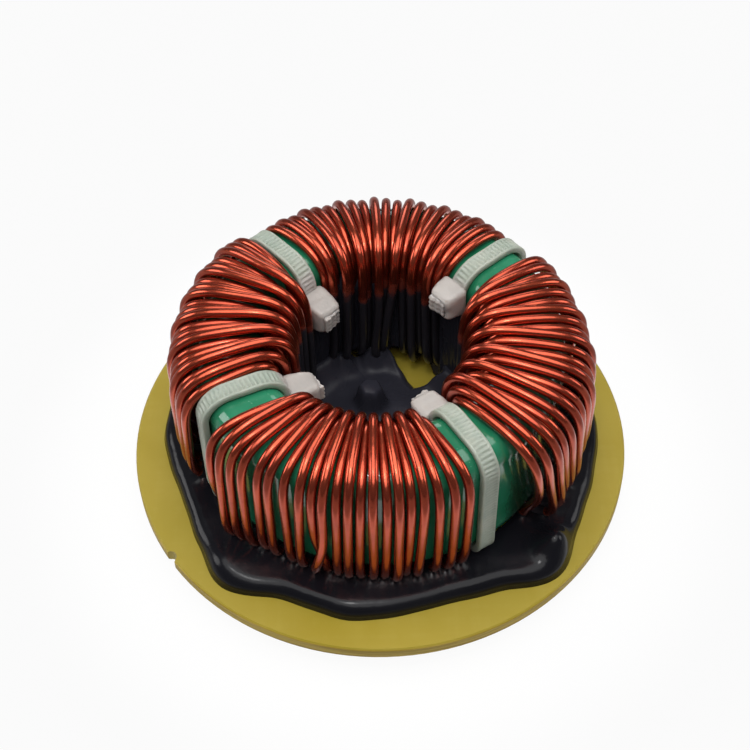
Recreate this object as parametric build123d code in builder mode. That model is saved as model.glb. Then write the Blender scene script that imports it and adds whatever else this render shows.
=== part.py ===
from build123d import *
from math import cos, pi, radians, sin, sqrt
import os

os.makedirs("parts", exist_ok=True)

# All sizes are in millimetres and all angles in degrees, counted anticlockwise from +X seen from above.
# The part stands on the tips of its solder leads, at z = 0, with the core's axis on Z.

# Base plate: a round disc with a small nick broken out of its rim
plate_d = 70.0
plate_t = 2.0
plate_edge = 0.25
nick_angle = -145.0
nick_r = 0.9
nick_depth = 0.8

# Ring core: a round ring of nearly square section
core_od = 50.0
core_id = 30.0
core_h = 20.0
core_edge_r = 3.0

# Enamelled wire, drawn with flats that keep the round wire's area
wire_d = 1.2
wire_sides = 8
wire_clear = 0.05
turns = 21

# The bore has no room for every turn side by side, so the turns lie there in layers of this pitch,
# and fan out by this angle at the bore's foot
layer_step = 1.1
bore_splay = 3.0

# Solder leads below the plate, and the holes that they pass through
lead_out = 3.5
tinned_d = 1.36
tinned_gap = 0.2
lead_hole_clear = 0.2

# Height between the plate and the lowest turn
bed_gap = 0.1

# Each winding: angles of its first and last turn at the outer wall, the same two at the bore, its
# layers in the bore, and how much further each layer stands off the core at the outer wall
windings = {
    "winding_front": (-147.2, -63.0, -135.5, -73.0, 2, 0.3),
    "winding_right": (-37.0, 32.0, -45.5, 25.0, 3, 0.9),
    "winding_back": (47.5, 126.0, 51.5, 117.5, 3, 0.3),
    "winding_left": (138.5, 196.5, 145.0, 196.5, 3, 0.9),
}
finish_step = 2.5

# Cable ties: angle round the core, twist out of the radial plane and depth of the head in the bore
ties = {
    "cable_tie_front_right": (-58.0, 0.0, 4.4),
    "cable_tie_back_right": (39.5, 0.0, 2.4),
    "cable_tie_back_left": (132.3, 0.0, 5.0),
    "cable_tie_front_left": (-151.5, -5.0, 4.8),
}
tie_w = 2.5
tie_t = 1.0
tie_clear = 0.27
head_w = 4.4
head_l = 4.8
head_h = 3.4
head_edge_r = 0.5
stub_l = 0.9

# Glue round the coil: each point of its outline on the plate, as an angle and how far beyond the core
# it reaches
glue_outline = [
    (0, 6.3),
    (30, 5.8),
    (60, 5.2),
    (90, 5.5),
    (120, 5.1),
    (150, 5.6),
    (180, 6.0),
    (201, 4.7),
    (216, 6.0),
    (230, 8.0),
    (243, 5.4),
    (262, 5.8),
    (287, 4.6),
    (301, 5.9),
    (314, 8.9),
    (328, 6.7),
    (342, 6.0),
]
glue_h = 3.0
glue_edge_r = 1.6
glue_clear = 0.05
glue_side_margin = 3.0

# Glue in the bore: the outline of a low pad, as angles and distances inside the core's bore, which leaves
# a patch of the plate bare, and the domed stub
pad_outline = [
    (0, 3.8),
    (24, 3.7),
    (38, 4.6),
    (46, 6.2),
    (56, 6.8),
    (66, 5.6),
    (76, 4.2),
    (88, 3.7),
    (120, 3.8),
    (150, 3.7),
    (180, 3.8),
    (225, 3.7),
    (270, 3.8),
    (315, 3.7),
]
pad_h = 2.2
pad_edge_r = 1.4
stub_r = 2.3
stub_h = 6.5
stub_edge_r = 1.8
stub_centre = (-1.2, 4.2)

# Worked out from the sizes above
flat_area_factor = wire_sides / 2 * sin(2 * pi / wire_sides)
section_r = wire_d / 2 * sqrt(pi / flat_area_factor)
standoff = section_r + wire_clear
bend = (2 - sqrt(2)) * (core_edge_r + standoff)
plate_top = lead_out + plate_t
core_bottom = plate_top + bed_gap + 2 * section_r + wire_clear + layer_step
tinned_l = lead_out - tinned_gap
core_top = core_bottom + core_h
core_w = (core_od - core_id) / 2
core_mid_r = (core_od + core_id) / 4
core_mid_z = (core_bottom + core_top) / 2
lead_hole_r = tinned_d / 2 + lead_hole_clear
strap_wall = core_od / 2 + tie_clear + tie_t


def polar(radius, angle, z=0.0):
    """A point at a radius and an angle round the core's axis."""
    return Vector(radius * cos(radians(angle)), radius * sin(radians(angle)), z)


def spread(first, last, turn):
    """The angle of one turn, with the turns spread evenly from the first to the last."""
    return first + (last - first) * turn / (turns - 1)


def winding_path(outer_first, outer_last, bore_first, bore_last, layers, lift):
    """Corner points of one winding's wire, from its start lead's tip to its finish lead's tip."""
    wall_0 = core_od / 2 + standoff
    bed = core_bottom - standoff
    points = [polar(wall_0 - bend, outer_first, tinned_l), polar(wall_0 - bend, outer_first, bed)]
    for turn in range(turns):
        last = turn == turns - 1
        layer = 0 if last else turn % layers
        outer = spread(outer_first, outer_last, turn)
        bore = spread(bore_first, bore_last, turn) + (finish_step if last else 0)
        wall = wall_0 + lift * layer
        hole = core_id / 2 - standoff - layer_step * layer
        top_outer = core_top + standoff + lift * layer
        top_bore = core_top + standoff + layer_step * layer
        points += [
            polar(wall, outer, bed + bend),
            polar(wall, outer, top_outer - bend),
            polar(wall - bend, outer, top_outer),
            polar(hole + bend, bore, top_bore),
            polar(hole, bore, top_bore - bend),
        ]
        if last:
            points.append(polar(hole, bore, tinned_l))
        else:
            foot = spread(bore_first - bore_splay, bore_last + bore_splay, turn)
            onward = spread(outer_first, outer_last, turn + 1)
            points.append(polar(hole, foot, bed - layer_step * (turn % 2)))
            points.append(polar(wall_0 - bend, onward, bed))
    return points


paths = {name: winding_path(*angles) for name, angles in windings.items()}
lead_points = [point for path in paths.values() for point in (path[0], path[-1])]

# Base plate
with BuildPart() as base_plate:
    with BuildSketch(Plane.XY.offset(lead_out)):
        Circle(plate_d / 2)
    extrude(amount=plate_t)
    chamfer(base_plate.edges().filter_by(GeomType.CIRCLE), plate_edge)
    with BuildSketch(Plane.XY.offset(lead_out)):
        with Locations(polar(plate_d / 2 + nick_r - nick_depth, nick_angle)):
            Circle(nick_r)
        with Locations(*[Vector(point.X, point.Y) for point in lead_points]):
            Circle(lead_hole_r)
    extrude(amount=plate_t, mode=Mode.SUBTRACT)
base_plate.part.label = "base_plate"
export_step(base_plate.part, "parts/base_plate.step")

# Core
with BuildPart() as core:
    with BuildSketch(Plane.XZ):
        with Locations((core_mid_r, core_mid_z)):
            RectangleRounded(core_w, core_h, core_edge_r)
    revolve(axis=Axis.Z)
core.part.label = "core"
export_step(core.part, "parts/core.step")

# Windings: one length of wire each, bent round the core, with a round tinned lead at both ends
for name, path in paths.items():
    with BuildPart() as winding:
        with BuildLine():
            route = Polyline(*path)
        with BuildSketch(Plane(origin=route @ 0, z_dir=route % 0)):
            RegularPolygon(section_r, wire_sides)
        sweep(path=route, transition=Transition.RIGHT)
        for tip in (path[0], path[-1]):
            with BuildSketch(Plane.XY):
                with Locations(Vector(tip.X, tip.Y)):
                    Circle(tinned_d / 2)
            extrude(amount=tinned_l)
    winding.part.label = name
    export_step(winding.part, f"parts/{name}.step")

# Cable ties: a strap round the core's section, and on it in the bore the head with the cut stub
for name, (angle, twist, depth) in ties.items():
    section = Plane(
        origin=polar(core_mid_r, angle, core_mid_z),
        x_dir=polar(1, angle + twist),
        z_dir=polar(1, angle + twist - 90),
    )
    head_x = -core_w / 2 - tie_clear
    head_z = core_h / 2 - depth
    with BuildPart() as tie:
        with BuildSketch(section):
            RectangleRounded(
                core_w + 2 * (tie_clear + tie_t),
                core_h + 2 * (tie_clear + tie_t),
                core_edge_r + tie_clear + tie_t,
            )
            RectangleRounded(
                core_w + 2 * tie_clear,
                core_h + 2 * tie_clear,
                core_edge_r + tie_clear,
                mode=Mode.SUBTRACT,
            )
        extrude(amount=tie_w / 2, both=True)
        with BuildSketch(section):
            with Locations((head_x, head_z)):
                Rectangle(tie_t + head_h + stub_l, tie_t, align=(Align.MAX, Align.CENTER))
        extrude(amount=tie_w / 2, both=True)
        with BuildSketch(section):
            with Locations((head_x - tie_t / 2, head_z)):
                RectangleRounded(tie_t / 2 + head_h, head_l, head_edge_r, align=(Align.MAX, Align.CENTER))
        extrude(amount=head_w / 2, both=True)
    tie.part.label = name
    export_step(tie.part, f"parts/{name}.step")

# Glue round the coil: it fills the room from its outline to the straps and the windings' outer walls
with BuildPart() as outer_glue:
    with BuildSketch(Plane.XY.offset(plate_top)):
        with BuildLine():
            Spline(*[polar(core_od / 2 + reach, angle) for angle, reach in glue_outline], periodic=True)
        make_face()
    extrude(amount=glue_h)
    fillet(outer_glue.faces().sort_by(Axis.Z)[-1].edges(), glue_edge_r)
    with BuildSketch(Plane.XY.offset(plate_top)):
        Circle(strap_wall + glue_clear)
        for outer_first, outer_last, bore_first, bore_last, layers, lift in windings.values():
            wall = core_od / 2 + standoff + lift * (layers - 1) + section_r + glue_clear
            first = outer_first - glue_side_margin
            with BuildLine():
                arc = CenterArc((0, 0), wall, first, outer_last + glue_side_margin - first)
                Line(arc @ 1, (0, 0))
                Line((0, 0), arc @ 0)
            make_face()
    extrude(amount=glue_h, mode=Mode.SUBTRACT)
outer_glue.part.label = "outer_glue"
export_step(outer_glue.part, "parts/outer_glue.step")

# Glue in the bore
with BuildPart() as bore_glue:
    with BuildSketch(Plane.XY.offset(plate_top)):
        with BuildLine():
            Spline(*[polar(core_id / 2 - inset, angle) for angle, inset in pad_outline], periodic=True)
        make_face()
    extrude(amount=pad_h)
    fillet(bore_glue.faces().sort_by(Axis.Z)[-1].edges(), pad_edge_r)
    with BuildSketch(Plane.XY.offset(plate_top)):
        with Locations(stub_centre):
            Circle(stub_r)
    extrude(amount=stub_h)
    fillet(bore_glue.edges().sort_by(Axis.Z)[-1], stub_edge_r)
bore_glue.part.label = "bore_glue"
export_step(bore_glue.part, "parts/bore_glue.step")
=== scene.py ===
import bpy
import math
import numpy as np
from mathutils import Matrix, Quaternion, Vector, kdtree


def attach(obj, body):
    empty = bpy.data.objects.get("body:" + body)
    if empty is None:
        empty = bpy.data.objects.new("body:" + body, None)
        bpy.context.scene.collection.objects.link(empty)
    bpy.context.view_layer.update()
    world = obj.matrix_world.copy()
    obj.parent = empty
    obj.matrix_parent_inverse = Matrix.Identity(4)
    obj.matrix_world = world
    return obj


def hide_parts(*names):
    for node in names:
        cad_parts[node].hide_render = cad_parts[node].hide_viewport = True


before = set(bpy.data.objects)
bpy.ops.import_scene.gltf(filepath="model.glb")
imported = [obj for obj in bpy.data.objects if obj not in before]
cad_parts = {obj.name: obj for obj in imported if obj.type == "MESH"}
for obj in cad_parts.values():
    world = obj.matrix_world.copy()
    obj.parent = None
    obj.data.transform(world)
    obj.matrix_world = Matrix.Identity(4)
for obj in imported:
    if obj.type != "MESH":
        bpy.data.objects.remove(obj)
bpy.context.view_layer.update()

MM = 0.001
rng = np.random.default_rng(11)

# Sizes of the part in millimetres, as its source has them. The wire's radius is that of its copper with the
# enamel over it.
PLATE_TOP = 5.5
CORE_R_OUT = 25.0
CORE_R_IN = 15.0
CORE_H = 20.0
CORE_EDGE_R = 3.0
CORE_MID_R = (CORE_R_OUT + CORE_R_IN) / 2
CORE_BOTTOM = 8.015
CORE_TOP = CORE_BOTTOM + CORE_H
CORE_MID_Z = CORE_BOTTOM + CORE_H / 2
WIRE_R = 0.64
STANDOFF = 0.69
LAYER = 1.1
BORE_SPLAY = 3.0
TURNS = 21
TINNED_R = 0.68
TINNED_L = 3.3

# How fine the wires' meshes are round and along, and their paths before that
WIRE_SIDES = 14
WIRE_STEP = 0.62
PATH_STEP = 0.6

# The lowest and the highest that any wire may lie
LOWEST = 0.02
HIGHEST = 31.55


def polar(radius, angle, z):
    """A point at a radius and an angle in degrees round the core's axis."""
    a = math.radians(angle)
    return np.array([radius * math.cos(a), radius * math.sin(a), z])


def spread(first, last, turn):
    """The angle of one turn, with the turns spread evenly from the first to the last."""
    return first + (last - first) * turn / (TURNS - 1)


def smoothstep(low, high, value):
    """0 at low and 1 at high, smooth in between."""
    t = np.clip((value - low) / (high - low), 0, 1)
    return t * t * (3 - 2 * t)


def ripple(angles, waves, seed):
    """A smooth closed wave of about unit height, as a sum of sines with chosen counts round the circle."""
    phases = np.random.default_rng(seed).uniform(0, 2 * math.pi, len(waves))
    total = sum(np.sin(np.radians(angles) * n + p) for n, p in zip(waves, phases))
    return total / math.sqrt(len(waves))


def closed_curve(points, angles):
    """Values at any angle of a smooth closed curve through (angle, value) points."""
    knots = np.array([p[0] for p in points], float)
    values = np.array([p[1] for p in points], float)
    knots = np.r_[knots[-1] - 360, knots, knots[0] + 360, knots[1] + 360]
    values = np.r_[values[-1], values, values[0], values[1]]
    slopes = np.gradient(values, knots)
    a = np.mod(np.asarray(angles, float) - knots[1], 360) + knots[1]
    i = np.clip(np.searchsorted(knots, a, side="right") - 1, 0, len(knots) - 2)
    h = knots[i + 1] - knots[i]
    t = (a - knots[i]) / h
    return ((2 * t**3 - 3 * t**2 + 1) * values[i] + (t**3 - 2 * t**2 + t) * h * slopes[i]
            + (3 * t**2 - 2 * t**3) * values[i + 1] + (t**3 - t**2) * h * slopes[i + 1])


# Meshes

def mesh_object(name, verts, faces, smooth=True):
    """A new object of points in millimetres."""
    mesh = bpy.data.meshes.new(name)
    mesh.from_pydata([tuple(v) for v in np.asarray(verts) * MM], [], faces)
    mesh.validate()
    mesh.update()
    if smooth:
        mesh.polygons.foreach_set("use_smooth", [True] * len(mesh.polygons))
    obj = bpy.data.objects.new(name, mesh)
    bpy.context.scene.collection.objects.link(obj)
    return obj


def tube_faces(rings, sides, closed=False):
    """Quads between rings of points. A closed tube joins its last ring to its first; an open one has caps."""
    faces = []
    for i in range(rings if closed else rings - 1):
        a = i * sides
        b = (i + 1) % rings * sides
        faces += [(a + j, a + (j + 1) % sides, b + (j + 1) % sides, b + j) for j in range(sides)]
    if not closed:
        faces.append(tuple(range(sides))[::-1])
        faces.append(tuple((rings - 1) * sides + j for j in range(sides)))
    return faces


def frames_along(path):
    """A twist-free pair of normals at every point of a path."""
    tangents = np.gradient(path, axis=0)
    tangents /= np.linalg.norm(tangents, axis=1)[:, None]
    normals = np.zeros_like(path)
    first = np.cross(tangents[0], (1.0, 0.0, 0.0))
    normals[0] = first / np.linalg.norm(first)
    for i in range(1, len(path)):
        n = normals[i - 1] - tangents[i] * np.dot(normals[i - 1], tangents[i])
        normals[i] = n / np.linalg.norm(n)
    return normals, np.cross(tangents, normals)


def wire(name, path, radius):
    """A round wire along a path, with its own radius at each point."""
    n, b = frames_along(path)
    a = np.linspace(0, 2 * math.pi, WIRE_SIDES, endpoint=False)
    ring = np.cos(a)[None, :, None] * n[:, None] + np.sin(a)[None, :, None] * b[:, None]
    verts = (path[:, None] + ring * radius[:, None, None]).reshape(-1, 3)
    return mesh_object(name, verts, tube_faces(len(path), WIRE_SIDES))


# Paths

def rounded(points, radii):
    """A path through straight runs, with each inner corner rounded over the length given for it."""
    out = [points[0]]

    def run(a, b):
        n = max(1, int(np.linalg.norm(b - a) / PATH_STEP))
        out.extend(a + (b - a) * k / n for k in range(1, n + 1))

    last = points[0]
    for i in range(1, len(points) - 1):
        p, c, q = points[i - 1], points[i], points[i + 1]
        u, v = p - c, q - c
        lu, lv = np.linalg.norm(u), np.linalg.norm(v)
        t = min(radii[i], 0.5 * lu, 0.5 * lv)
        a, b = c + u / lu * t, c + v / lv * t
        run(last, a)
        n = max(2, int(2 * t / PATH_STEP))
        for k in range(1, n + 1):
            s = k / n
            out.append((1 - s) ** 2 * a + 2 * s * (1 - s) * c + s ** 2 * b)
        last = b
    run(last, points[-1])
    return np.array(out)


def smoothed(path, passes, hold):
    """The path with its bends eased; some points at both ends stay."""
    path = path.copy()
    for _ in range(passes):
        inner = 0.25 * path[:-2] + 0.5 * path[1:-1] + 0.25 * path[2:]
        path[hold:-hold] = inner[hold - 1:len(inner) - hold + 1]
    return path


def resampled(path, step):
    """The same path with points at an even distance."""
    lengths = np.linalg.norm(np.diff(path, axis=0), axis=1)
    along = np.r_[0, np.cumsum(lengths)]
    t = np.linspace(0, along[-1], int(along[-1] / step))
    return np.column_stack([np.interp(t, along, path[:, k]) for k in range(3)])


def clear_of_core(path, gap):
    """Moves any point that lies nearer to the core than a gap straight out to that gap."""
    r = np.hypot(path[:, 0], path[:, 1])
    half_r = CORE_MID_R - CORE_R_IN - CORE_EDGE_R
    half_z = CORE_H / 2 - CORE_EDGE_R
    dr, dz = r - CORE_MID_R, path[:, 2] - CORE_MID_Z
    cr, cz = np.clip(dr, -half_r, half_r), np.clip(dz, -half_z, half_z)
    er, ez = dr - cr, dz - cz
    away = np.maximum(np.hypot(er, ez), 1e-6)
    k = np.maximum((CORE_EDGE_R + gap) / away, 1)
    new_r = CORE_MID_R + cr + er * k
    path = path.copy()
    path[:, :2] *= (new_r / r)[:, None]
    path[:, 2] = CORE_MID_Z + cz + ez * k
    return path


# Windings: the same turns as the solids, with the leans and the loose lie of the real wire

# For each winding: the angles of its first and last turn at the top, at the foot and in the bore, those of
# its two leads, its layers, how far each layer steps out at the wall, the wire's slack there and in the bore,
# and how unevenly it lies. A winding that flares stands further out from the first angle to the second one,
# where it reaches the given lengths at the foot and at the top.
WINDINGS = {
    "winding_front": dict(tops=(-144, -64.5), feet=(-144, -64.5), bore=(-132.5, -72), leads=(-147.2, -70.5),
                          layers=2, lift=0.2, slack=0.8, bore_slack=0.0, loose=0.2,
                          flare=(-122, -143, 1.8, 0.8)),
    "winding_right": dict(tops=(-48.5, 30), feet=(-37.5, 32), bore=(-50, 25), leads=(-37, 27.5),
                          layers=3, lift=0.2, slack=1.6, bore_slack=0.2, loose=0.2,
                          flare=(22, -14, 1.2, 1.3)),
    "winding_back": dict(tops=(46, 127.5), feet=(47.5, 126), bore=(50, 120.5), leads=(47.5, 120),
                         layers=3, lift=0.15, slack=0.25, bore_slack=0.0, loose=0.15),
    "winding_left": dict(tops=(137.5, 204.5), feet=(138.5, 197), bore=(142.5, 200), leads=(138.5, 199),
                         layers=3, lift=0.2, slack=1.75, bore_slack=0.7, loose=0.2),
}

# How much of a winding's unevenness shows at each place, and as a belly off the wall
TOP_STRAY = 0.9
FOOT_STRAY = 1.1
BORE_STRAY = 0.5
WALL_STRAY = 0.7
BELLY = 0.25

# Lengths over which the wire's bends are rounded
LEAD_BEND = 1.6
FOOT_BEND = 1.6
WALL_BEND = 4.0
SHOULDER_BEND = 6.6
TOP_BEND = 5.0
RIM_BEND = 4.4
BORE_BEND = 2.0
BORE_FOOT_BEND = 3.0

# Air between the core's top and the wire, and how often the turns are moved out of each other
TOP_AIR = 0.2
EASING_PASSES = 30

# The turn of the back winding that slants across the bore's wall, and how far its foot is off, in degrees
SLANTING_TURN = 8
SLANT = 13.0

# How far each turn of the front winding leans from its even place, in degrees, at its top and its foot
FRONT_TOPS = (1.5, 2, 1.5, 1.5, 2.5, 2, 2.5, 4, 3, 2, 2, 1.5, 1, 0, 0.5, -0.5, -1.5, -1.5, -1.5, -1, -0.5)
FRONT_FEET = (2, 2.5, 1.5, 2, 1.5, 1.5, 3, 2.5, 5.5, 0, 1.5, 0.5, -0.5, 0, -1, 0, -4, -4, -2, -2, -1.5)

# Ties: angle round the core, twist out of the radial plane, depth of the head below the core's top, and
# how much further than its solid the head reaches into the bore
TIES = {
    "cable_tie_front_right": (-58.0, 0.0, 4.2, 0.2),
    "cable_tie_back_right": (39.5, 0.0, 2.6, -0.3),
    "cable_tie_back_left": (132.3, 0.0, 5.4, 0.9),
    "cable_tie_front_left": (-151.5, -5.0, 4.6, 0.5),
}
TIE_W = 2.5
TIE_T = 1.0
TIE_CLEAR = 0.27
HEAD_W = 4.4
HEAD_L = 4.8
HEAD_H = 3.4
STUB_L = 0.9
HEAD_X = -(CORE_MID_R - CORE_R_IN) - TIE_CLEAR

# The strap's ribs lie in a sunk band between two plain rims
STRAP_STEP = 0.1
STRAP_RIM = 0.42
RIB_PITCH = 0.62
BAND_DEPTH = 0.17
RIB_H = 0.13

# Round edges of the head and the stub, how many cells their sides have, and how far the head narrows
HEAD_EDGE_R = 0.75
HEAD_CELLS = 16
STUB_EDGE_R = 0.2
STUB_CELLS = 14
HEAD_TAPER = 0.24


def winding_path(name, tops, feet, bore, leads, layers, lift, slack, bore_slack, loose, flare=None):
    """The wire of one winding, from the tip of its start lead to the tip of its finish lead."""
    points, radii = [], []
    front = name == "winding_front"

    def add(radius, angle, z, bend):
        points.append(polar(radius, angle, z))
        radii.append(bend)

    def flared(angle):
        """How much further out the wire stands at its foot and at the top."""
        if not flare:
            return 0.0, 0.0
        first, full, foot_out, top_out = flare
        out = float(smoothstep(first, full, angle))
        return foot_out * out, top_out * out

    wall_0 = CORE_R_OUT + STANDOFF
    bore_0 = CORE_R_IN - STANDOFF
    bed = CORE_BOTTOM - STANDOFF
    top = CORE_TOP + STANDOFF + TOP_AIR
    start_r = wall_0 - (2 - math.sqrt(2)) * (CORE_EDGE_R + STANDOFF)
    jitter = rng.normal(0, loose, (5, TURNS))
    add(start_r, leads[0], LOWEST, 0)
    add(start_r, leads[0], bed, LEAD_BEND)
    for i in range(TURNS):
        last = i == TURNS - 1
        stray = jitter[:, i] * (0 < i < TURNS - 1)
        layer = 0 if last else i % layers
        rise = LAYER * layer
        head = spread(*tops, i) + (FRONT_TOPS[i] if front else TOP_STRAY * stray[0])
        foot = spread(*feet, i) + (FRONT_FEET[i] if front else FOOT_STRAY * stray[1])
        b = spread(*bore, i) + BORE_STRAY * stray[2]
        belly = BELLY * abs(jitter[3, i])
        wall_angle = 0.5 * (foot + head) + WALL_STRAY * jitter[4, i]
        wall = wall_0 + slack + lift * layer
        hole = bore_0 - rise - bore_slack * (0.4 + 0.3 * layer)
        foot_out, top_out = flared(0.5 * (head + foot))
        low, high = wall + foot_out, wall + top_out
        if i:
            add(low, foot, bed, FOOT_BEND)
        add(0.5 * (low + high) + belly, wall_angle, CORE_BOTTOM + 0.4 * CORE_H, WALL_BEND)
        add(high + 0.1, head, top + 0.4 * lift * layer, SHOULDER_BEND)
        middle_rise = 0.45 + 0.3 * rise if layers > 2 else 0.4 * rise
        add(CORE_MID_R, head + (b - head) * 0.5, top + middle_rise, TOP_BEND)
        add(hole - 0.1, b, top + rise, RIM_BEND)
        if last:
            add(bore_0, leads[1], CORE_BOTTOM + 4, BORE_BEND)
            add(bore_0, leads[1], LOWEST, 0)
            break
        under = spread(bore[0] - BORE_SPLAY, bore[1] + BORE_SPLAY, i)
        if name == "winding_back" and i == SLANTING_TURN:
            add(hole, b, CORE_TOP - 3, BORE_BEND)
            under += SLANT
        add(hole, under, bed - LAYER * (i % 2), BORE_FOOT_BEND)
    path = smoothed(rounded(points, radii), 5, hold=2)
    return resampled(clear_of_core(path, WIRE_R), WIRE_STEP)


def clear_of_ties(points):
    """Moves wire that comes too near to a strap or a head aside from it.

    Wire within head_r of the axis is beside a head, and wire further in than this_side is across the bore.
    """
    points = points.copy()
    r = np.hypot(points[:, 0], points[:, 1])
    margin = 0.05
    head_r = 14.6
    this_side = -12
    for angle, twist, depth, _ in TIES.values():
        a = math.radians(angle + twist)
        origin = polar(CORE_MID_R, angle, 0)
        across = np.array([-math.sin(a), math.cos(a), 0])
        out = np.array([math.cos(a), math.sin(a), 0])
        side = (points - origin) @ across
        near = (points - origin) @ out > this_side
        by_head = (r < head_r) & (np.abs(points[:, 2] - CORE_TOP + depth) < HEAD_L / 2 + WIRE_R)
        keep = np.where(by_head, HEAD_W / 2, TIE_W / 2) + WIRE_R + margin
        short = near & (np.abs(side) < keep)
        move = np.where(short, (keep - np.abs(side)) * np.sign(side), 0)
        points += move[:, None] * across
    return points


def eased_apart(paths, passes):
    """Moves the turns out of each other, as wire that lies on wire, and off the core and the ties.

    Points nearer along one wire than own_stretch don't push each other, and each pass takes only a share
    of every push.
    """
    gap = 2 * WIRE_R + 0.02
    outer_gap = 2 * WIRE_R + 0.25
    own_stretch = 7
    share = 0.6
    ends = np.cumsum([len(p) for p in paths])
    owner = np.repeat(np.arange(len(paths)), [len(p) for p in paths])
    points = np.concatenate(paths)
    in_plate = points[:, 2] < PLATE_TOP - 0.4
    for _ in range(passes):
        tree = kdtree.KDTree(len(points))
        for i, p in enumerate(points):
            tree.insert(p, i)
        tree.balance()
        pairs = [(i, j) for i, p in enumerate(points) for _, j, _ in tree.find_range(p, outer_gap)
                 if j > i + own_stretch or (j > i and owner[i] != owner[j])]
        i, j = np.array(pairs).T
        d = points[i] - points[j]
        length = np.maximum(np.linalg.norm(d, axis=1), 1e-6)
        outside = smoothstep(17, 23, np.hypot(points[i, 0], points[i, 1]))
        short = np.maximum(gap + (outer_gap - gap) * outside - length, 0)
        push = d / length[:, None] * short[:, None]
        move, count = np.zeros_like(points), np.zeros(len(points))
        np.add.at(move, i, push)
        np.add.at(move, j, -push)
        np.add.at(count, i, short > 0)
        np.add.at(count, j, short > 0)
        moved = points + share * move / np.maximum(count, 1)[:, None]
        moved = np.concatenate([smoothed(part, 1, hold=6) for part in np.split(moved, ends[:-1])])
        moved = clear_of_ties(clear_of_core(moved, WIRE_R))
        moved[:, 2] = np.clip(moved[:, 2], LOWEST, HIGHEST - WIRE_R)
        points = np.where(in_plate[:, None], points, moved)
    return np.split(points, ends[:-1])


paths = eased_apart([winding_path(name, **spec) for name, spec in WINDINGS.items()], EASING_PASSES)


def wetness(path):
    """How much black glue covers the wire along a path, from 0 to 1: in the bore and at its feet.

    The turn that slants across the bore's wall stays bare further down.
    """
    r, z = np.hypot(path[:, 0], path[:, 1]), path[:, 2]
    angle = np.degrees(np.arctan2(path[:, 1], path[:, 0]))
    along = np.gradient(path, axis=0)
    slope = np.hypot(along[:, 0], along[:, 1]) / np.linalg.norm(along, axis=1)
    slanting = (slope > 0.16) & (z > 12) & (z < 24.5) & (r < 13.6)
    bore_level = np.where(slanting, 14.0, 23.2 + ripple(angle, (3, 8, 15), 21))
    bore_fade = 5.0
    foot_level = 8.5 + 0.3 * ripple(angle, (11, 29, 44), 22)
    foot_fade = 0.6
    in_bore = (r < 15.6) * np.clip((bore_level - z) / bore_fade + 0.5, 0, 1)
    at_foot = np.clip((foot_level - z) / foot_fade + 0.5, 0, 1)
    return np.maximum(in_bore, at_foot)


winding_pieces = {}
for name, path in zip(WINDINGS, paths):
    radius = np.where(path[:, 2] < TINNED_L, TINNED_R, WIRE_R)
    piece = wire(name + "_wire", path, radius)
    wet = piece.data.attributes.new("wet", "FLOAT", "POINT")
    wet.data.foreach_set("value", np.repeat(wetness(path), len(piece.data.vertices) // len(path)))
    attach(piece, "root")
    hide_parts(name)
    winding_pieces[name] = piece


# Cable ties: a ribbed strap round the core, its head and the rough stub of its cut end

def strap_mesh(place):
    """Points and faces of a strap; place turns (out, across, up) offsets into points of the frame."""
    half_x = CORE_MID_R - CORE_R_IN
    lift = TIE_CLEAR + TIE_T / 2
    corner = CORE_EDGE_R + lift
    flat_x, flat_z = half_x - CORE_EDGE_R, CORE_H / 2 - CORE_EDGE_R
    outline = []
    # Each corner, with the direction in which the straight run after it goes
    corners = ((-1, 1, 1, 0), (1, 1, 0, -1), (1, -1, -1, 0), (-1, -1, 0, 1))
    for k, (sx, sz, run_x, run_z) in enumerate(corners):
        first = math.pi - k * math.pi / 2
        arc = int(corner * math.pi / 2 / STRAP_STEP)
        for i in range(arc):
            a = first - i / arc * math.pi / 2
            outline.append((sx * flat_x + corner * math.cos(a), sz * flat_z + corner * math.sin(a),
                            math.cos(a), math.sin(a)))
        flat = int(2 * (flat_x if run_x else flat_z) / STRAP_STEP)
        a = first - math.pi / 2
        for i in range(flat):
            outline.append((sx * flat_x + corner * math.cos(a) + run_x * 2 * flat_x * i / flat,
                            sz * flat_z + corner * math.sin(a) + run_z * 2 * flat_z * i / flat,
                            math.cos(a), math.sin(a)))
    half_w, half_t = TIE_W / 2, TIE_T / 2
    band = half_w - STRAP_RIM
    verts = []
    for i, (x, z, nx, nz) in enumerate(outline):
        tooth = abs((i * STRAP_STEP / RIB_PITCH) % 1 - 0.5) * 2
        low = half_t - BAND_DEPTH + RIB_H * smoothstep(0.2, 0.8, tooth)
        profile = [(-half_w + 0.1, -half_t), (half_w - 0.1, -half_t), (half_w, -half_t + 0.12),
                   (half_w, half_t - 0.14), (half_w - 0.12, half_t), (band + 0.06, half_t),
                   (band - 0.04, low), (0, low), (-band + 0.04, low), (-band - 0.06, half_t),
                   (-half_w + 0.12, half_t), (-half_w, half_t - 0.14), (-half_w, -half_t + 0.12)]
        verts += [place(x + nx * t, w, z + nz * t) for w, t in profile]
    return verts, tube_faces(len(outline), len(profile), closed=True)


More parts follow.
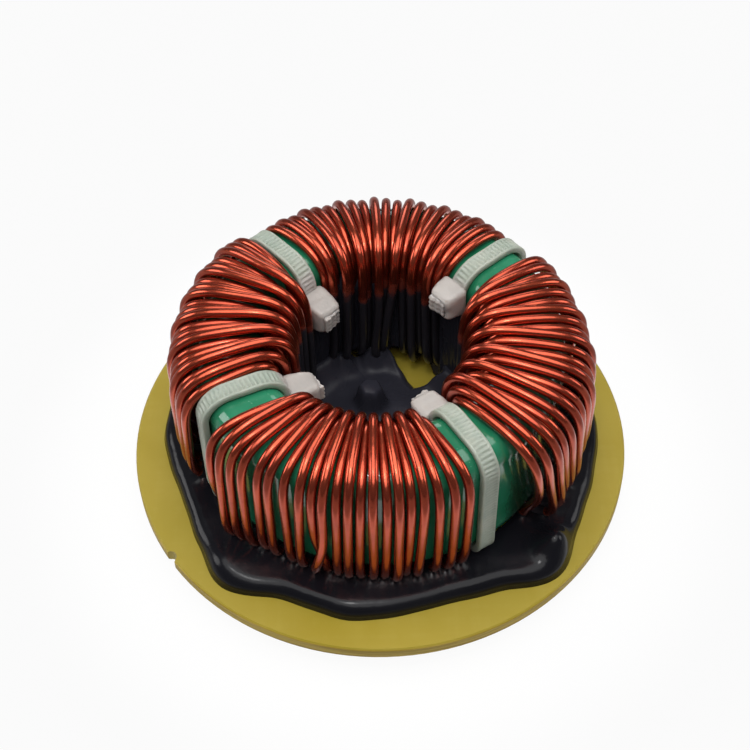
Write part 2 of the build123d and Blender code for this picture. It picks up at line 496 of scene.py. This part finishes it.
def block_mesh(place, centre, half, edge, cells, shape):
    """Points and faces of a box with round edges; shape moves each of its points in (out, across, up)."""
    ticks = np.sin(np.linspace(-1, 1, cells + 1) * math.pi / 2)
    index, verts, faces = {}, [], []

    def vertex(p):
        key = tuple(np.round(p, 6))
        if key not in index:
            q = np.array(p) * half
            core = np.clip(q, edge - half, half - edge)
            d = q - core
            length = np.linalg.norm(d)
            q = core + d / length * edge if length > 1e-9 else q
            index[key] = len(verts)
            verts.append(place(*shape(centre + q, np.array(p))))
        return index[key]

    for axis in range(3):
        for side in (-1, 1):
            for i in range(cells):
                for j in range(cells):
                    corners = []
                    for u, v in ((i, j), (i + 1, j), (i + 1, j + 1), (i, j + 1)):
                        p = [0, 0, 0]
                        p[axis], p[(axis + 1) % 3], p[(axis + 2) % 3] = side, ticks[u], ticks[v]
                        corners.append(vertex(p))
                    faces.append(tuple(corners if side > 0 else corners[::-1]))
    return verts, faces


def tie(name, angle, twist, depth, reach, seed):
    """One cable tie, as a strap, a head and a stub in one piece."""
    a = math.radians(angle + twist)
    out = np.array([math.cos(a), math.sin(a), 0])
    across = np.array([-math.sin(a), math.cos(a), 0])
    up = np.array([0, 0, 1.0])
    origin = polar(CORE_MID_R, angle, CORE_MID_Z)
    phase = np.random.default_rng(seed).uniform(0, 6, 6)
    head_z = CORE_H / 2 - depth

    def place(x, y, z):
        return origin + out * x + across * y + up * z

    def head_shape(q, p):
        """The head narrows towards its open end."""
        x, y, z = q
        t = 0.5 - 0.5 * p[0]
        y *= 1 - HEAD_TAPER * t * t
        z = head_z + (z - head_z) * (1 - HEAD_TAPER * t * t)
        wob = 0.06 * math.sin(3 * y + phase[0]) * math.sin(2.6 * z + phase[1])
        return x + wob, y + wob, z + 0.04 * math.sin(4 * x + phase[2])

    def stub_shape(q, p):
        """The cut end is torn, higher on one side."""
        x, y, z = q
        if p[0] < 0:
            x += 0.1 * math.sin(6.5 * y + phase[3]) + 0.1 * math.sin(8 * z + phase[4]) - 0.25 * p[1]
        return x, y, z + 0.05 * math.sin(4 * y + phase[5])

    verts, faces = strap_mesh(place)
    head_half = np.array([HEAD_H / 2 + TIE_T / 4 + reach / 2, HEAD_W / 2, HEAD_L / 2])
    head_centre = np.array([HEAD_X - TIE_T / 2 - head_half[0], 0, head_z])
    stub_half = np.array([0.32 * STUB_L, 0.31 * HEAD_W, 0.27 * HEAD_L])
    stub_centre = np.array([head_centre[0] - head_half[0], 0, head_z])
    for more_verts, more_faces in (
            block_mesh(place, head_centre, head_half, HEAD_EDGE_R, HEAD_CELLS, head_shape),
            block_mesh(place, stub_centre, stub_half, STUB_EDGE_R, STUB_CELLS, stub_shape)):
        start = len(verts)
        verts = verts + more_verts
        faces = faces + [tuple(start + v for v in face) for face in more_faces]
    piece = mesh_object(name + "_strap_and_head", verts, faces)
    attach(piece, "root")
    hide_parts(name)
    return piece


tie_pieces = [tie(name, *spec, seed) for seed, (name, spec) in enumerate(TIES.items())]


# Glue

def foot_points(level, inside):
    """Where the wires cross a level, in the bore or outside the core."""
    bore_side = 16
    innermost = 11
    found = []
    for path in paths:
        z = path[:, 2]
        for i in np.nonzero((z[:-1] - level) * (z[1:] - level) < 0)[0]:
            r = math.hypot(*path[i, :2])
            if (r < bore_side) == inside and r > innermost:
                found.append(path[i, :2])
    return np.array(found)


def climb(x, y, feet, height, reach):
    """How far glue climbs near the wires' feet."""
    total = np.zeros_like(x)
    for fx, fy in feet:
        total = np.maximum(total, height * np.exp(-((x - fx) ** 2 + (y - fy) ** 2) / reach ** 2))
    return total


# The outer glue's outline on the plate, as angles and how far beyond the core it reaches, and its two lumps,
# as x, y, height and width
GLUE_REACH = [
    (0, 6.3), (30, 5.8), (60, 5.2), (90, 5.5), (120, 5.1), (150, 5.6), (180, 6.0), (201, 4.7), (216, 6.0),
    (230, 8.0), (243, 5.4), (262, 5.8), (287, 4.6), (301, 5.9), (314, 8.9), (328, 6.7), (342, 6.0),
]
GLUE_LUMPS = [(23.2, -20.8, 2.6, 2.4), (-20.9, -22.4, 0.9, 3.0)]


def outer_glue_mesh():
    """A ring of glue with a round outer edge, which climbs a little at the wires' feet."""
    columns, rows = 900, 34
    foot_climb, foot_reach = 0.4, 1.1
    angles = np.linspace(0, 360, columns, endpoint=False)
    edge = CORE_R_OUT + closed_curve(GLUE_REACH, angles) + 0.06 * ripple(angles, (13, 22, 31), 3)
    inner = CORE_R_OUT - 0.9
    t = np.linspace(0, 1, rows)
    t = 1 - (1 - t) ** 1.6
    r = edge[:, None] - (edge[:, None] - inner) * t[None, :]
    a = np.radians(angles)[:, None]
    x, y = r * np.cos(a), r * np.sin(a)
    depth = edge[:, None] - r
    brow = 2.0 + 0.2 * ripple(angles, (5, 9, 14), 4)[:, None]
    round_edge = np.sqrt(np.clip(1 - (1 - np.clip(depth / brow, 0, 1)) ** 2, 0, 1))
    height = 2.15 + 0.12 * ripple(angles, (3, 5, 8), 5)[:, None] + 0.2 * smoothstep(1.5, 5, depth)
    for lump_x, lump_y, lump_h, lump_w in GLUE_LUMPS:
        height = height + lump_h * np.exp(-((x - lump_x) ** 2 + (y - lump_y) ** 2) / lump_w ** 2)
    height = height + climb(x, y, foot_points(PLATE_TOP + 3.0, False), foot_climb, foot_reach)
    z = PLATE_TOP + height * round_edge
    verts = []
    for c in range(columns):
        verts += [(x[c, k], y[c, k], z[c, k]) for k in range(rows)]
        verts.append((x[c, -1], y[c, -1], PLATE_TOP))
    return verts, tube_faces(columns, rows + 1, closed=True)


# The stub of glue in the bore, the corners of the bare patch of the plate there, and the angle of a small
# gap by the bore's wall
STUB_AT = (-1.2, 4.2)
STUB_R = 1.95
STUB_H = 3.7
PATCH = [(0.9, 15.5), (2.6, 12.5), (4.1, 9.9), (5.1, 8.1), (6.9, 8.5), (8.6, 9.2), (9.0, 10.6), (9.2, 15.5)]
SMALL_GAP = 104.0


def inside_patch(x, y):
    """Distance inside the patch's edge, negative outside it."""
    depth = np.full_like(x, 99.0)
    for (ax, ay), (bx, by) in zip(PATCH, PATCH[1:] + PATCH[:1]):
        length = math.hypot(bx - ax, by - ay)
        depth = np.minimum(depth, ((bx - ax) * (y - ay) - (by - ay) * (x - ax)) / length)
    return depth


def bore_glue_mesh():
    """A pad with a domed stub, which rises to the wires and dips under the plate's top in the bare patch."""
    columns, rows = 400, 110
    angles = np.linspace(0, 360, columns, endpoint=False)
    t = np.linspace(1, 0.002, rows)
    r = (13.45 + 0.05 * ripple(angles, (9, 17, 26), 8))[:, None] * t[None, :]
    a = np.radians(angles)[:, None]
    x, y = r * np.cos(a), r * np.sin(a)
    rise = 2.6 - 2.2 * np.exp(-((angles - SMALL_GAP) / 6) ** 2)[:, None]
    height = 1.5 + 0.2 * np.sin(0.9 * x + 1) * np.cos(0.8 * y) + rise * smoothstep(9.0, 13.2, r) ** 1.5
    stub_x, stub_y = x - STUB_AT[0], y - STUB_AT[1]
    from_stub = np.hypot(stub_x, stub_y)
    height = height + 0.9 * np.exp(-(from_stub / 3.4) ** 2)
    lobes = 1 + 0.05 * np.cos(6 * np.arctan2(stub_y, stub_x) + 0.5)
    height = height + STUB_H / (1 + (from_stub / (STUB_R * lobes)) ** 10)
    height = height + 0.3 * rise * climb(x, y, foot_points(PLATE_TOP + 4.2, True), 1.0, 0.9)
    patch = inside_patch(x, y) + 0.12 * np.sin(2.1 * x + 0.5) * np.sin(1.7 * y)
    height = height * np.sqrt(1 - smoothstep(-1.1, 0.05, patch)) - 0.2 * smoothstep(0.0, 0.12, patch)
    z = PLATE_TOP + height
    verts = []
    for k in range(rows):
        verts += [(x[c, k], y[c, k], z[c, k]) for c in range(columns)]
    verts += [(x[c, 0], y[c, 0], PLATE_TOP - 0.3) for c in range(columns)]
    faces = tube_faces(rows, columns)[:-2]
    last = (rows - 1) * columns
    faces.append(tuple(last + c for c in range(columns)))
    base = rows * columns
    for c in range(columns):
        d = (c + 1) % columns
        faces.append((base + c, base + d, d, c))
    faces.append(tuple(base + c for c in range(columns))[::-1])
    return verts, faces


def film_mesh():
    """The black film over the bore's wall, between and over the lowest turns."""
    columns, rows = 540, 36
    angles = np.linspace(0, 360, columns, endpoint=False)
    top = 23.6 + 0.9 * ripple(angles, (4, 7, 13), 12) + 0.5 * ripple(angles, (37, 58, 83), 13)
    wide_gap = smoothstep(52, 58, angles) * (1 - smoothstep(82, 87, angles))
    past_gap = smoothstep(SMALL_GAP + 4, SMALL_GAP + 7, angles)
    small_gap = smoothstep(SMALL_GAP - 7, SMALL_GAP - 4, angles) * (1 - past_gap)
    bottom = PLATE_TOP + 0.3 + 3.4 * np.maximum(wide_gap, small_gap) + 0.1 * ripple(angles, (31, 47), 15)
    t = np.linspace(0, 1, rows)[None, :]
    z = bottom[:, None] + (top - bottom)[:, None] * t
    a = np.radians(angles)[:, None]
    thick = np.sqrt(np.clip(1 - np.clip((t - 0.9) / 0.1, 0, 1) ** 2, 0, 1))
    flow = 0.16 * ripple(angles, (41, 67, 95), 14)[:, None] * np.sin(0.5 * z + 3 * np.sin(a * 5))
    r = CORE_R_IN - 0.12 - (1.42 + 0.6 * flow) * thick
    verts = []
    for c in range(columns):
        ca, sa = math.cos(a[c, 0]), math.sin(a[c, 0])
        verts += [(r[c, k] * ca, r[c, k] * sa, z[c, k]) for k in range(rows)]
        back = CORE_R_IN - 0.08
        verts += [(back * ca, back * sa, top[c] - 0.05), (back * ca, back * sa, bottom[c])]
    return verts, tube_faces(columns, rows + 2, closed=True)


outer_glue = mesh_object("outer_glue_pour", *outer_glue_mesh())
bore_glue = mesh_object("bore_glue_pour", *bore_glue_mesh())
film = mesh_object("bore_glue_film", *film_mesh())
for piece, node in ((outer_glue, "outer_glue"), (bore_glue, "bore_glue"), (film, "bore_glue")):
    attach(piece, "root")
    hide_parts(node)


# Materials

def material(name):
    """A new material, its node tree and its shader."""
    m = bpy.data.materials.new(name)
    m.use_nodes = True
    return m, m.node_tree, m.node_tree.nodes["Principled BSDF"]


def link(tree, value, socket):
    """Sets a socket to a number or colour, or links another node's output to it."""
    if isinstance(value, bpy.types.NodeSocket):
        tree.links.new(value, socket)
    else:
        socket.default_value = value


def math_node(tree, operation, a, b=0.0):
    n = tree.nodes.new("ShaderNodeMath")
    n.operation = operation
    link(tree, a, n.inputs[0])
    link(tree, b, n.inputs[1])
    return n.outputs[0]


def times(tree, a, b):
    return math_node(tree, "MULTIPLY", a, b)


def plus(tree, a, b):
    return math_node(tree, "ADD", a, b)


def mix(tree, factor, a, b, kind="RGBA"):
    """A blend of two colours, or of two numbers where the kind is FLOAT."""
    n = tree.nodes.new("ShaderNodeMix")
    n.data_type = kind
    link(tree, factor, n.inputs["Factor"])
    link(tree, a, n.inputs["A"])
    link(tree, b, n.inputs["B"])
    return n.outputs["Result"]


def blend_values(tree, factor, a, b):
    return mix(tree, factor, a, b, "FLOAT")


def ramp(tree, value, low, high):
    """0 below low and 1 above high, smooth in between; the other way round where low is above high."""
    n = tree.nodes.new("ShaderNodeMapRange")
    n.interpolation_type = "SMOOTHSTEP"
    link(tree, value, n.inputs["Value"])
    n.inputs["From Min"].default_value = min(low, high)
    n.inputs["From Max"].default_value = max(low, high)
    n.inputs["To Min"].default_value = 0.0 if low < high else 1.0
    n.inputs["To Max"].default_value = 1.0 if low < high else 0.0
    return n.outputs["Result"]


def position(tree):
    return tree.nodes.new("ShaderNodeTexCoord").outputs["Object"]


def axes(tree, vector):
    """The x, y, z and the distance from the Z axis of a position."""
    split = tree.nodes.new("ShaderNodeSeparateXYZ")
    tree.links.new(vector, split.inputs[0])
    x, y, z = split.outputs
    radius = math_node(tree, "SQRT", plus(tree, times(tree, x, x), times(tree, y, y)))
    return x, y, z, radius


def noise(tree, vector, scale, detail, distortion=0.0, stretch=None):
    if stretch:
        mapping = tree.nodes.new("ShaderNodeMapping")
        mapping.inputs["Scale"].default_value = stretch
        tree.links.new(vector, mapping.inputs["Vector"])
        vector = mapping.outputs[0]
    n = tree.nodes.new("ShaderNodeTexNoise")
    n.inputs["Scale"].default_value = scale
    n.inputs["Detail"].default_value = detail
    n.inputs["Distortion"].default_value = distortion
    tree.links.new(vector, n.inputs["Vector"])
    return n.outputs["Fac"]


def bump(tree, bsdf, height, distance):
    n = tree.nodes.new("ShaderNodeBump")
    n.inputs["Strength"].default_value = 1.0
    n.inputs["Distance"].default_value = distance
    tree.links.new(height, n.inputs["Height"])
    tree.links.new(n.outputs[0], bsdf.inputs["Normal"])


def put_on(obj, mat):
    obj.data.materials.clear()
    obj.data.materials.append(mat)


def enamel_material():
    """Copper seen through reddish enamel, black where glue wets the wire, and tinned at the leads."""
    m, tree, bsdf = material("enamelled_copper")
    p = position(tree)
    z = axes(tree, p)[2]
    broad = noise(tree, p, 260.0, 3.0)
    fine = noise(tree, p, 1700.0, 2.0)
    red = mix(tree, ramp(tree, broad, 0.35, 0.7), (0.50, 0.080, 0.036, 1), (0.40, 0.060, 0.030, 1))
    red = mix(tree, ramp(tree, fine, 0.66, 0.82), red, (0.30, 0.046, 0.026, 1))
    covered = tree.nodes.new("ShaderNodeAttribute")
    covered.attribute_name = "wet"
    wander = times(tree, math_node(tree, "SUBTRACT", noise(tree, p, 420.0, 3.0), 0.5), 1.1)
    wet = ramp(tree, plus(tree, covered.outputs["Fac"], wander), 0.2, 0.8)
    tinned = ramp(tree, z, 0.0034, 0.0032)
    color = mix(tree, wet, red, (0.018, 0.016, 0.02, 1))
    color = mix(tree, tinned, color, (0.62, 0.61, 0.58, 1))
    bare = times(tree, math_node(tree, "SUBTRACT", 1.0, wet), 0.92)
    tree.links.new(color, bsdf.inputs["Base Color"])
    tree.links.new(math_node(tree, "MAXIMUM", bare, tinned), bsdf.inputs["Metallic"])
    rough = plus(tree, blend_values(tree, wet, times(tree, broad, 0.2), 0.16), 0.12)
    tree.links.new(blend_values(tree, tinned, rough, 0.36), bsdf.inputs["Roughness"])
    bsdf.inputs["Coat Weight"].default_value = 0.2
    bsdf.inputs["Coat Roughness"].default_value = 0.12
    bump(tree, bsdf, plus(tree, broad, times(tree, fine, 0.15)), 0.00008)
    return m


def core_material():
    """Glossy green coating with a slight orange peel and cloudy patches, with painted shade on the core under
    the close windings.
    """
    m, tree, bsdf = material("core_coating")
    p = position(tree)
    clouds = noise(tree, p, 110.0, 4.0, 0.6)
    peel = noise(tree, p, 900.0, 2.0)
    color = mix(tree, ramp(tree, clouds, 0.35, 0.65), (0.016, 0.19, 0.09, 1), (0.028, 0.25, 0.13, 1))
    color = mix(tree, ramp(tree, noise(tree, p, 2300.0, 2.0), 0.68, 0.76), color, (0.12, 0.34, 0.22, 1))
    x, y, _, radius = axes(tree, p)
    # Painted shade: the core's colour is darkened in the sectors under the right, back and left windings,
    # where the wires shade it.
    for name in ("winding_right", "winding_back", "winding_left"):
        first, last = WINDINGS[name]["bore"]
        middle, half = math.radians((first + last) / 2), math.radians((last - first) / 2)
        along = plus(tree, times(tree, x, math.cos(middle)), times(tree, y, math.sin(middle)))
        towards = math_node(tree, "DIVIDE", along, radius)
        under = ramp(tree, towards, math.cos(half + 0.02), math.cos(half - 0.1))
        color = mix(tree, times(tree, under, 0.8), color, (0.012, 0.030, 0.018, 1))
    tree.links.new(color, bsdf.inputs["Base Color"])
    tree.links.new(plus(tree, times(tree, clouds, 0.14), 0.06), bsdf.inputs["Roughness"])
    bsdf.inputs["Coat Weight"].default_value = 0.4
    bsdf.inputs["Coat Roughness"].default_value = 0.05
    bump(tree, bsdf, plus(tree, times(tree, clouds, 2.0), peel), 0.00002)
    return m


def plate_material():
    """Yellow laminate with faint weave and smudges, and a cut rim with layers."""
    m, tree, bsdf = material("laminate")
    p = position(tree)
    radius = axes(tree, p)[3]
    smudge = noise(tree, p, 70.0, 4.0, 0.4)
    weave_x = noise(tree, p, 900.0, 1.0, 0.0, (1, 0.06, 1))
    weave_y = noise(tree, p, 900.0, 1.0, 0.0, (0.06, 1, 1))
    weave = plus(tree, times(tree, weave_x, 0.5), times(tree, weave_y, 0.5))
    color = mix(tree, ramp(tree, smudge, 0.3, 0.7), (0.34, 0.258, 0.023, 1), (0.38, 0.293, 0.036, 1))
    color = mix(tree, times(tree, ramp(tree, weave, 0.5, 0.66), 0.1), color, (0.46, 0.37, 0.08, 1))
    layers = noise(tree, p, 2600.0, 2.0, 0.0, (0.03, 0.03, 1))
    rim = mix(tree, ramp(tree, layers, 0.38, 0.62), (0.30, 0.205, 0.018, 1), (0.42, 0.30, 0.05, 1))
    at_rim = ramp(tree, radius, 0.03484, 0.03496)
    color = mix(tree, at_rim, color, rim)
    tree.links.new(color, bsdf.inputs["Base Color"])
    rough = blend_values(tree, at_rim, plus(tree, times(tree, smudge, 0.25), 0.28), 0.6)
    tree.links.new(rough, bsdf.inputs["Roughness"])
    bsdf.inputs["Specular IOR Level"].default_value = 0.3
    bump(tree, bsdf, weave, 0.00003)
    return m


def nylon_material():
    """Milky, slightly see-through nylon."""
    m, tree, bsdf = material("nylon")
    p = position(tree)
    milk = noise(tree, p, 240.0, 3.0)
    grain = noise(tree, p, 2400.0, 2.0)
    radius = axes(tree, p)[3]
    head = mix(tree, ramp(tree, milk, 0.3, 0.7), (0.40, 0.375, 0.35, 1), (0.47, 0.44, 0.41, 1))
    strap = mix(tree, ramp(tree, milk, 0.3, 0.7), (0.31, 0.36, 0.30, 1), (0.40, 0.425, 0.36, 1))
    color = mix(tree, ramp(tree, radius, 0.0142, 0.0152), head, strap)
    tree.links.new(color, bsdf.inputs["Base Color"])
    tree.links.new(plus(tree, times(tree, grain, 0.2), 0.25), bsdf.inputs["Roughness"])
    bsdf.inputs["Subsurface Weight"].default_value = 0.5
    bsdf.inputs["Subsurface Radius"].default_value = (1.0, 0.95, 0.85)
    bsdf.inputs["Subsurface Scale"].default_value = 0.0012
    bump(tree, bsdf, plus(tree, milk, times(tree, grain, 0.4)), 0.00012)
    return m


def glue_material(name, tone, gloss, dull):
    """Black glue with a satin skin that turns glossy in patches."""
    m, tree, bsdf = material(name)
    p = position(tree)
    patches = noise(tree, p, 130.0, 3.0, 0.5)
    skin = noise(tree, p, 620.0, 3.0)
    dark = (0.005 * tone, 0.005 * tone, 0.007 * tone, 1)
    light = (0.009 * tone, 0.009 * tone, 0.012 * tone, 1)
    color = mix(tree, patches, dark, light)
    tree.links.new(color, bsdf.inputs["Base Color"])
    tree.links.new(plus(tree, times(tree, patches, 0.3), dull), bsdf.inputs["Roughness"])
    bsdf.inputs["Specular IOR Level"].default_value = gloss
    bump(tree, bsdf, plus(tree, times(tree, patches, 2.0), skin), 0.00004)
    return m


enamel = enamel_material()
nylon = nylon_material()
poured = glue_material("black_glue", 1.0, 0.19, 0.04)
# Painted light: the glue in the shaded bore is a copy of the same black glue with 3.6 times its tone and less
# gloss.
lit_copy_of_bore_glue = glue_material("black_glue_lit_copy_in_bore", 3.6, 0.1, 0.12)
for piece in winding_pieces.values():
    put_on(piece, enamel)
for piece in tie_pieces:
    put_on(piece, nylon)
put_on(outer_glue, poured)
put_on(bore_glue, lit_copy_of_bore_glue)
put_on(film, lit_copy_of_bore_glue)
put_on(bpy.data.objects["core"], core_material())
put_on(bpy.data.objects["base_plate"], plate_material())


# Stage, light and camera

# The floor carries a painted pool of light: its colour is white near the part and dark grey further out, and
# it shines white in the wires' reflections only near the part. The camera sees it white everywhere
FLOOR = 4000
FLOOR_NEAR = 0.038
FLOOR_FAR = 0.056
FLOOR_WHITE = 0.94
floor = mesh_object("floor", [(-FLOOR, -FLOOR, 0), (FLOOR, -FLOOR, 0), (FLOOR, FLOOR, 0), (-FLOOR, FLOOR, 0)],
                    [(0, 1, 2, 3)], False)
m, tree, bsdf = material("floor")
# Painted pool of light: the floor's colour goes from white near the part to dark grey further out.
near = ramp(tree, axes(tree, position(tree))[3], FLOOR_FAR, FLOOR_NEAR)
painted_light_pool_on_floor = mix(tree, near, (0.28, 0.28, 0.28, 1), (0.85, 0.85, 0.85, 1))
tree.links.new(painted_light_pool_on_floor, bsdf.inputs["Base Color"])
bsdf.inputs["Roughness"].default_value = 0.7
white = tree.nodes.new("ShaderNodeEmission")
shader_mix = tree.nodes.new("ShaderNodeMixShader")
rays = tree.nodes.new("ShaderNodeLightPath").outputs
mirrored = math_node(tree, "MAXIMUM", rays["Is Glossy Ray"], rays["Is Transmission Ray"])
seen = math_node(tree, "MAXIMUM", rays["Is Camera Ray"], times(tree, mirrored, near))
tree.links.new(times(tree, seen, FLOOR_WHITE), shader_mix.inputs[0])
tree.links.new(bsdf.outputs[0], shader_mix.inputs[1])
tree.links.new(white.outputs[0], shader_mix.inputs[2])
tree.links.new(shader_mix.outputs[0], tree.nodes["Material Output"].inputs[0])
put_on(floor, m)

world = bpy.data.worlds.new("studio")
bpy.context.scene.world = world
world.use_nodes = True
tree = world.node_tree
split = tree.nodes.new("ShaderNodeSeparateXYZ")
tree.links.new(tree.nodes.new("ShaderNodeTexCoord").outputs["Generated"], split.inputs[0])
sky = mix(tree, ramp(tree, split.outputs["Z"], 0.5, 0.9), (0.13, 0.13, 0.135, 1), (0.3, 0.3, 0.3, 1))
tree.links.new(sky, tree.nodes["Background"].inputs["Color"])


def area(name, location, target, size, radiance):
    """A round soft lamp of a given brightness."""
    light = bpy.data.lights.new(name, "AREA")
    light.shape = "DISK"
    light.size = size * MM
    light.energy = radiance * math.pi * math.pi * (size * MM / 2) ** 2
    obj = bpy.data.objects.new(name, light)
    obj.location = Vector(location) * MM
    obj.rotation_euler = (Vector(target) - Vector(location)).to_track_quat("-Z", "Y").to_euler()
    bpy.context.scene.collection.objects.link(obj)


area("top_light", (0, -45, 415), (0, -10, 15), 560, 2.3)
area("key_light", (-30, -100, 405), (0, 0, 15), 60, 22.0)
area("left_light", (-420, 60, 190), (0, 0, 15), 260, 3.8)
area("right_light", (420, 40, 190), (0, 0, 15), 260, 2.8)
area("back_light", (0, 430, 240), (0, 0, 20), 240, 2.2)

camera = bpy.data.cameras.new("camera")
camera.lens = 72.0
camera.sensor_width = 36.0
camera.clip_start = 0.01
camera_object = bpy.data.objects.new("camera", camera)
eye = Vector((-0.015, -130.338, 178.0))
aim = Vector((-0.527, 0.41, 18.5))
roll = Quaternion((0, 0, 1), -0.0211)
look = (aim - eye).to_track_quat("-Z", "Y")
camera_object.rotation_mode = "QUATERNION"
camera_object.rotation_quaternion = look @ roll
camera_object.location = eye * MM
bpy.context.scene.collection.objects.link(camera_object)
bpy.context.scene.camera = camera_object
bpy.context.scene.view_settings.view_transform = "Standard"
